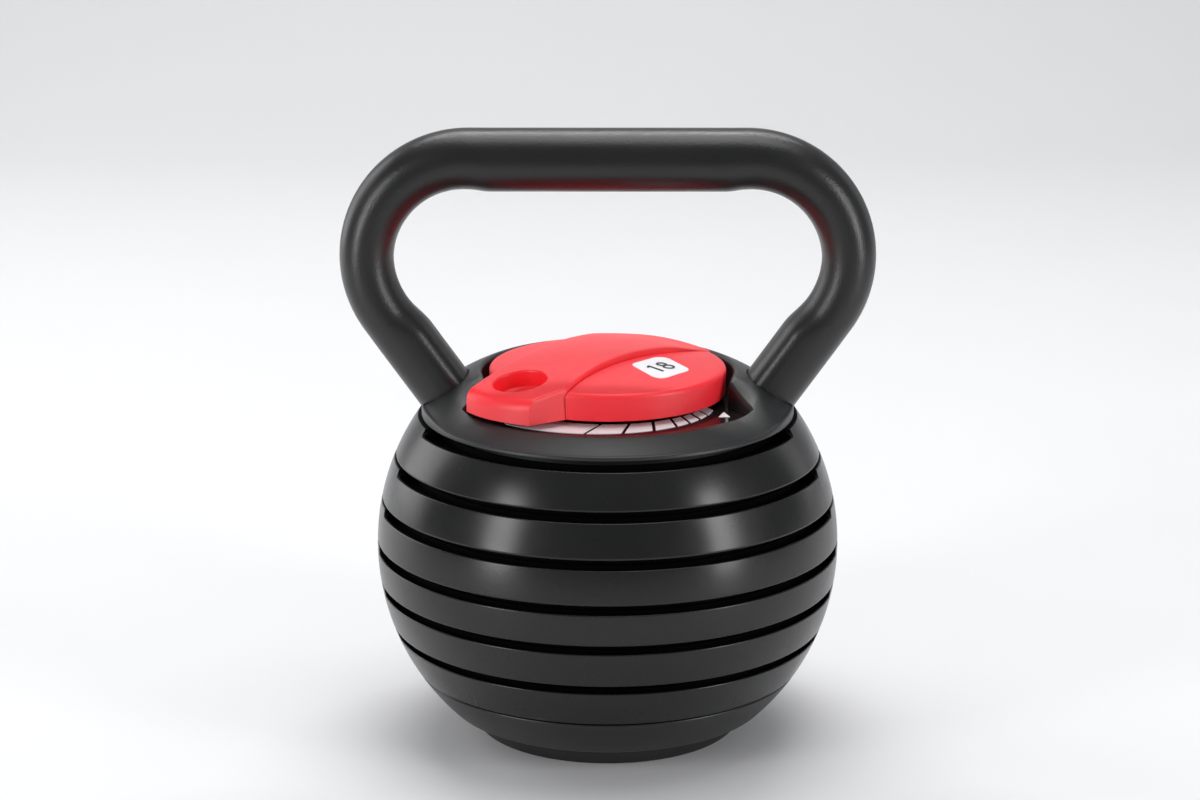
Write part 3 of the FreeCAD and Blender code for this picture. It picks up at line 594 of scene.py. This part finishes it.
def leg_stations(bend_end, leg_end):
    """Sections down the right leg: a short blend to a flattened inner side, then straight to its end."""
    x, z, degrees, half = bend_end[:4]
    tilt = math.radians(LEG_TILT)
    stations = []
    for step in range(1, BLEND_STEPS + 1):
        t = smooth(0, 1, step / BLEND_STEPS)
        along, shift = LEG_BLEND * step / BLEND_STEPS, LEG_SHIFT * t
        stations.append((x - along * math.sin(tilt) - shift * math.cos(tilt),
                         z - along * math.cos(tilt) + shift * math.sin(tilt),
                         degrees, mix(half, BAR_RADIUS, t), BAR_RADIUS, mix(half, FACET, t)))
    x, z = stations[-1][:2]
    for step in range(1, LEG_STEPS + 1):
        drop = (z - leg_end) * step / LEG_STEPS
        stations.append((x - drop * math.tan(tilt), z - drop, degrees, BAR_RADIUS, BAR_RADIUS, FACET))
    return stations


def handle_mesh(grow, leg_end):
    """Closed tube swept along the handle, grown all round by grow."""
    around = HANDLE_AROUND
    right = handle_stations(leg_end)
    stations = [(-x, z, -d, a, b, f) for x, z, d, a, b, f in reversed(right[1:])] + right
    verts, faces = [], []
    for x, z, degrees, in_plane, across, facet in stations:
        turn = math.radians(degrees)
        for i in range(around):
            angle = 2 * math.pi * i / around
            y, n = (across + grow) * math.sin(angle), (in_plane + grow) * math.cos(angle)
            if n < 0:
                squareness = 1 - FACET_SOFTNESS * (1 - facet / in_plane) / (1 - FACET / BAR_RADIUS)
                n = -(facet + grow) * abs(math.cos(angle)) ** squareness
            verts.append((x + math.sin(turn) * n, y, z + math.cos(turn) * n))
    for s in range(len(stations) - 1):
        here, there = s * around, (s + 1) * around
        faces += [(here + i, here + (i + 1) % around, there + (i + 1) % around, there + i)
                  for i in range(around)]
    last = (len(stations) - 1) * around
    faces += [tuple(range(around)), tuple(range(last + around - 1, last - 1, -1))]
    return verts, faces


# ---------------------------------------------------------------- dial's arm

def arc_points(a, b, c, count):
    """Points on the circle through three plan points, from the first to the last."""
    (ax, ay), (bx, by), (cx, cy) = a, b, c
    aa, bb, cc = ax ** 2 + ay ** 2, bx ** 2 + by ** 2, cx ** 2 + cy ** 2
    d = 2 * (ax * (by - cy) + bx * (cy - ay) + cx * (ay - by))
    ux = (aa * (by - cy) + bb * (cy - ay) + cc * (ay - by)) / d
    uy = (aa * (cx - bx) + bb * (ax - cx) + cc * (bx - ax)) / d
    radius = math.hypot(ax - ux, ay - uy)
    start, middle, end = [math.atan2(y - uy, x - ux) for x, y in (a, b, c)]
    to_middle, to_end = (middle - start) % math.tau, (end - start) % math.tau
    sweep = to_end if to_middle <= to_end else to_end - math.tau
    angles = [start + sweep * i / count for i in range(count + 1)]
    return [(ux + radius * math.cos(angle), uy + radius * math.sin(angle)) for angle in angles]


def spaced(points, count):
    """Points at equal steps along a polyline."""
    lengths = [0.0]
    for a, b in zip(points, points[1:]):
        lengths.append(lengths[-1] + math.dist(a, b))
    result, j = [], 0
    for i in range(count + 1):
        want = lengths[-1] * i / count
        while j < len(points) - 2 and lengths[j + 1] < want:
            j += 1
        t = (want - lengths[j]) / (lengths[j + 1] - lengths[j])
        result.append(Vector(points[j]).lerp(Vector(points[j + 1]), t))
    return result


def disk_top(radius):
    """Height of the dial disk's domed top at a radius."""
    return DIAL_CROWN - (DIAL_CROWN - DIAL_WALL_TOP) * (radius / DIAL_RADIUS) ** 2


def arm_top(x, y):
    """Height of the arm's domed top at a plan point."""
    return ARM_CROWN - ARM_FALL * (x * x + y * y)


def round_drop(rounding, inward):
    """Fall of a rounded edge at a distance inward from it."""
    rest = max(0.0, rounding - inward)
    return rounding - math.sqrt(rounding ** 2 - rest ** 2)


def arm_plan_point(left, right, u, v, grow):
    """Plan point at share u along the arm and v across it, with both ends bulging outward."""
    tight = (right - left).normalized() * grow
    point = (left - tight).lerp(right + tight, v)
    swell = 4 * v * (1 - v)
    reach = FINGER_END_BULGE * swell * (1 - smooth(0, FINGER_END_SHARE, u))
    point += Vector(polar(reach + grow * (1 - smooth(0, GROW_SHARE, u)), FINGER_END_AZIMUTH))
    return point + Vector(polar(FAR_END_BULGE * swell * smooth(FAR_END_SHARE, 1.0, u), FAR_END_AZIMUTH))


def arm_heights(point, width, u, v, grow):
    """Top and bottom of the arm at a plan point. Its far end merges into the disk."""
    drop = max(round_drop(ARM_SIDE_ROUND + grow, min(v, 1 - v) * width),
               round_drop(ARM_END_ROUND + grow, ARM_LENGTH * u))
    merge = smooth(MERGE_ALONG, 1.0, u) * smooth(MERGE_ACROSS, 1.0, v)
    merged = disk_top(min(point.length, DIAL_RADIUS)) + MERGE_LIFT
    top = mix(arm_top(point.x, point.y), merged, merge) - drop
    floor = ARM_INNER_FLOOR
    if point.y < 0:
        floor = mix(DIAL_BOTTOM, ARM_INNER_FLOOR, smooth(FLOOR_STEP_OUTER, FLOOR_STEP_INNER, point.length))
    return top, min(top - ARM_MIN_THICKNESS, floor) - (CUT_BELOW if grow else 0.0)


def slab_faces(rows, columns):
    """Faces of a closed slab from a top grid of vertices followed by a bottom grid."""
    base = rows * columns
    faces = []
    for i in range(rows - 1):
        for j in range(columns - 1):
            a = i * columns + j
            faces.append((a, a + 1, a + columns + 1, a + columns))
            faces.append((base + a, base + a + columns, base + a + columns + 1, base + a + 1))
    border = [i * columns for i in range(rows)]
    border += [(rows - 1) * columns + j for j in range(1, columns)]
    border += [i * columns + columns - 1 for i in range(rows - 2, -1, -1)]
    border += list(range(columns - 2, 0, -1))
    faces += [(a, b, base + b, base + a) for a, b in zip(border, border[1:] + border[:1])]
    return faces


def arm_mesh(grow, lift):
    """Closed arm that sweeps across the dial, grown all round by grow, its top raised by lift."""
    left = spaced(arc_points(*ARM_LEFT, ARC_STEPS), ARM_STEPS)
    right = spaced([ARM_RIGHT_END] + arc_points(*ARM_RIGHT, ARC_STEPS), ARM_STEPS)
    top, bottom = [], []
    for u in ARM_ALONG:
        place = u * ARM_STEPS
        i = min(int(place), ARM_STEPS - 1)
        left_here = left[i].lerp(left[i + 1], place - i)
        right_here = right[i].lerp(right[i + 1], place - i)
        width = (right_here - left_here).length
        for v in ARM_ACROSS:
            point = arm_plan_point(left_here, right_here, u, v, grow)
            high, low = arm_heights(point, width, u, v, grow)
            top.append((point.x, point.y, high + lift))
            bottom.append((point.x, point.y, low))
    return top + bottom, slab_faces(len(ARM_ALONG), len(ARM_ACROSS))


def finger_plug():
    """Plug with a flared mouth, square to the arm's top where the finger hole is."""
    mouth = arm_top(*FINGER) - FINGER_FLOOR
    outer = FINGER_RADIUS + FINGER_FLARE + PLUG_MARGIN
    outline = [(FINGER_RADIUS - FINGER_LOW_INSET, 0.0), (FINGER_RADIUS - FINGER_LOW_DRAFT, FINGER_LOW_RISE),
               (FINGER_RADIUS, mouth - FINGER_FLARE)]
    for step in range(1, FLARE_STEPS + 1):
        turn = math.pi / 2 * step / FLARE_STEPS
        outline.append((FINGER_RADIUS + FINGER_FLARE * (1 - math.cos(turn)),
                        mouth - FINGER_FLARE + FINGER_FLARE * math.sin(turn)))
    outline += [(outer, mouth + PLUG_STEP), (outer, mouth + PLUG_RISE)]
    slope = Vector((2 * ARM_FALL * FINGER[0], 2 * ARM_FALL * FINGER[1], 1)).normalized()
    turn = Vector((0, 0, 1)).rotation_difference(slope).to_matrix()
    top = Vector((*FINGER, arm_top(*FINGER)))
    verts, faces, count = [], [], len(outline)
    for s in range(PLUG_SEGMENTS):
        c, n = polar(1.0, 360 * s / PLUG_SEGMENTS)
        verts += [top + turn @ Vector((r * c, r * n, z - mouth)) for r, z in outline]
        here, there = s * count, (s + 1) % PLUG_SEGMENTS * count
        faces += [(here + i, there + i, there + i + 1, here + i + 1) for i in range(count - 1)]
    starts = [s * count for s in range(PLUG_SEGMENTS)]
    faces += [tuple(starts), tuple(start + count - 1 for start in starts)]
    return verts, faces


# ---------------------------------------------------------------- dial, label and scale

def dial():
    """Disk with a channel for the arm, and the arm with its finger hole."""
    outline = [(r, disk_top(r), 0) for r in DISK_STATIONS]
    outline += [(DIAL_RADIUS, DIAL_WALL_TOP, DIAL_TOP_ROUND),
                (DIAL_RADIUS - DIAL_DRAFT, DIAL_BOTTOM, DIAL_LOW_ROUND), (BOSS_RADIUS, DIAL_BOTTOM, 0),
                (BOSS_RADIUS, BOSS_BOTTOM, 0), (POCKET_RADIUS, BOSS_BOTTOM, 0),
                (POCKET_RADIUS, POCKET_TOP, 0), (0, POCKET_TOP, 0)]
    disk = lathe("dial_plate", rounded(outline), dial_red, "selector", "dial_red", ["dial_disk"])
    carve(disk, *arm_mesh(ARM_CLEARANCE, CUT_ABOVE))
    arm = piece("dial_grip", *arm_mesh(0.0, 0.0), dial_red, "selector", "dial_red", ["dial_arm"])
    carve(arm, *finger_plug())


def prism(outline, low, high, top):
    """Closed prism over a plan outline, between two heights above a surface."""
    count = len(outline)
    verts = [(x, y, top(x, y) + low) for x, y in outline] + [(x, y, top(x, y) + high) for x, y in outline]
    faces = [tuple(range(count)), tuple(range(count, 2 * count))]
    faces += [(i, (i + 1) % count, count + (i + 1) % count, count + i) for i in range(count)]
    return verts, faces


def round_corners(corners, radius):
    """Plan outline with its corners rounded."""
    return [tuple(p) for p in rounded([(x, y, radius) for x, y in corners], CORNER_STEPS)]


def stroke(points, half, closed):
    """Quads that follow a plan line at an even width."""
    verts, quads, count = [], [], len(points)
    for i, p in enumerate(points):
        before = points[i - 1] if closed or i else p
        after = points[(i + 1) % count] if closed or i < count - 1 else p
        along = (after - before).normalized()
        across = Vector((-along.y, along.x)) * half
        verts += [p + across, p - across]
    for i in range(count if closed else count - 1):
        j = (i + 1) % count
        quads.append((2 * i, 2 * i + 1, 2 * j + 1, 2 * j))
    return verts, quads


def digit_lines():
    """Centre lines of the badge's number, each with whether it is closed: a flag, a stem and two loops."""
    across, up = Vector(polar(1.0, NUMBER_AZIMUTH)), Vector(polar(1.0, NUMBER_AZIMUTH + 90))

    def placed(centre, points):
        return [Vector(centre) + across * x + up * y for x, y in points]

    def loop(middle, wide, tall):
        angles = [math.tau * i / LOOP_STEPS for i in range(LOOP_STEPS)]
        return [(wide * math.cos(a), middle + tall * math.sin(a)) for a in angles]

    return [(placed(ONE_CENTRE, ONE_FLAG), False),
            (placed(ONE_CENTRE, ONE_STEM), False),
            (placed(EIGHT_CENTRE, loop(*UPPER_LOOP)), True),
            (placed(EIGHT_CENTRE, loop(*LOWER_LOOP)), True)]


def badge_number():
    """Number on the badge, its strokes raised a little above the badge's face."""
    verts, faces = [], []
    for points, closed in digit_lines():
        flat, quads = stroke(points, STROKE_HALF, closed)
        base, count = len(verts), len(flat)
        verts += [(p.x, p.y, disk_top(p.length) + high) for high in (BADGE_RISE, NUMBER_RISE) for p in flat]
        for a, b, c, d in quads:
            faces += [(base + a, base + b, base + c, base + d),
                      (base + count + a, base + count + b, base + count + c, base + count + d),
                      (base + a, base + d, base + count + d, base + count + a),
                      (base + b, base + c, base + count + c, base + count + b)]
        if not closed:
            for a, b in ((0, 1), (count - 2, count - 1)):
                faces.append((base + a, base + b, base + count + b, base + count + a))
    return verts, faces


def badge():
    """Raised white label on the dial with its number."""
    outline = round_corners(BADGE_CORNERS, BADGE_ROUND)
    mesh = prism(outline, BADGE_SINK, BADGE_RISE, lambda x, y: disk_top(math.hypot(x, y)))
    piece("dial_badge_plate", *mesh, print_white, "selector", "badge_white", ["dial_badge"])
    piece("dial_badge_number", *badge_number(), ink, "selector")


def scale_cell(begin, finish):
    """Plan outline of one cell of the scale, its ends slanted."""
    outer, inner = [], []
    for step in range(SCALE_STEPS + 1):
        t = step / SCALE_STEPS
        share = (mix(begin, finish, t) - SCALE_MARKS[0]) / (SCALE_MARKS[-1] - SCALE_MARKS[0])
        outer.append(polar(mix(SCALE_START, SCALE_END, share ** 2), mix(begin, finish - SCALE_GAP, t)))
        inner.append(polar(SCALE_INNER, mix(begin, finish - SCALE_INNER_GAP, t) + SCALE_SLANT))
    return outer + inner[::-1]


def scale():
    """White cells of the printed scale, with slanted dark lines of the floor between them."""
    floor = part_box("scale_print")[0].z / MM
    verts, faces = [], []
    for begin, finish in zip(SCALE_MARKS, SCALE_MARKS[1:]):
        cell_verts, cell_faces = prism(scale_cell(begin, finish), floor, floor + SCALE_THICKNESS,
                                       lambda x, y: 0.0)
        faces += [tuple(len(verts) + i for i in face) for face in cell_faces]
        verts += cell_verts
    piece("scale_cells", verts, faces, print_white, "handle_unit", "print_white", ["scale_print"])


# ---------------------------------------------------------------- stage, light, camera

def stage():
    """Pale paper floor that curves up behind the object, in metres."""
    front, width, depth, height, curve, steps = -3.0, 4.0, 2.2, 2.6, 0.8, 16
    turns = [math.pi / 2 * i / steps for i in range(steps + 1)]
    profile = [(front, 0.0)]
    profile += [(depth - curve + curve * math.sin(a), curve - curve * math.cos(a)) for a in turns]
    profile += [(depth, height)]
    verts = [(x, y, z) for x in (-width, width) for y, z in profile]
    count = len(profile)
    floor = bpy.data.meshes.new("studio_floor")
    floor.from_pydata(verts, [], [(i, i + 1, count + i + 1, count + i) for i in range(count - 1)])
    floor.shade_smooth()
    material, tree, shader = node_material("studio_paper", (0.76, 0.76, 0.77), roughness=0.55)
    gloss = spread(tree, noise(tree, scale=8, detail=3), low=0.5, high=0.62)
    tree.links.new(gloss, shader.inputs["Roughness"])
    floor.materials.append(material)
    obj = bpy.data.objects.new("studio_floor", floor)
    bpy.context.scene.collection.objects.link(obj)


def area_light(name, place, aim, size, power):
    """Soft rectangular light, its place, aim and size in metres and its power in watts."""
    data = bpy.data.lights.new(name, "AREA")
    data.shape = "RECTANGLE"
    data.size, data.size_y = size
    data.energy = power
    obj = bpy.data.objects.new(name, data)
    obj.location = place
    obj.rotation_euler = (Vector(aim) - Vector(place)).to_track_quat("-Z", "Y").to_euler()
    bpy.context.scene.collection.objects.link(obj)


def lights():
    """Large box and narrow strip above, a box and a window on each side, and a dim even room."""
    middle, handle_bar = (0, 0, 0.12), (0, 0, 0.25)
    area_light("top_box", (0.1, 0.1, 1.9), middle, size=(1.6, 1.0), power=16)
    area_light("top_strip", (0.0, 1.1, 1.95), handle_bar, size=(1.9, 0.14), power=22)
    area_light("left_box", (-1.15, -0.85, 0.45), middle, size=(0.35, 0.9), power=8.5)
    area_light("right_box", (1.2, -0.75, 0.45), middle, size=(0.3, 0.9), power=8)
    area_light("left_window", (-1.5, 0.9, 0.7), middle, size=(0.9, 1.4), power=10)
    area_light("right_window", (1.6, 1.1, 0.7), middle, size=(0.5, 1.4), power=1.5)
    world = bpy.data.worlds.new("room")
    world.use_nodes = True
    background = world.node_tree.nodes["Background"]
    background.inputs["Color"].default_value = (0.95, 0.97, 1.0, 1)
    background.inputs["Strength"].default_value = 0.28
    bpy.context.scene.world = world


def camera():
    """Camera 1.37 m from the ball's upper half and 17 degrees above it, on a long lens."""
    distance, elevation, pivot, aim = 1.370, math.radians(17.05), 0.0966, Vector((-0.0034, 0, 0.14925))
    data = bpy.data.cameras.new("camera")
    data.lens = 91.6
    data.sensor_width = 36.0
    obj = bpy.data.objects.new("camera", data)
    obj.location = (0, -distance * math.cos(elevation), pivot + distance * math.sin(elevation))
    obj.rotation_euler = (aim - obj.location).to_track_quat("-Z", "Y").to_euler()
    bpy.context.scene.collection.objects.link(obj)
    bpy.context.scene.camera = obj


# ---------------------------------------------------------------- scene

for plate in range(PLATES):
    plate_shell(plate)
dock()
cover()
piece("handle_loop", *handle_mesh(0.0, LEG_END), handle_coat, "handle_unit", "handle_coat", ["handle_tube"])
dial()
badge()
scale()

for name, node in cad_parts.items():
    node.data.materials.clear()
    node.data.materials.append(NODE_PAINT.get(name.split("_")[-1], brushed_steel))

bpy.context.scene.view_settings.view_transform = "Standard"
stage()
lights()
camera()
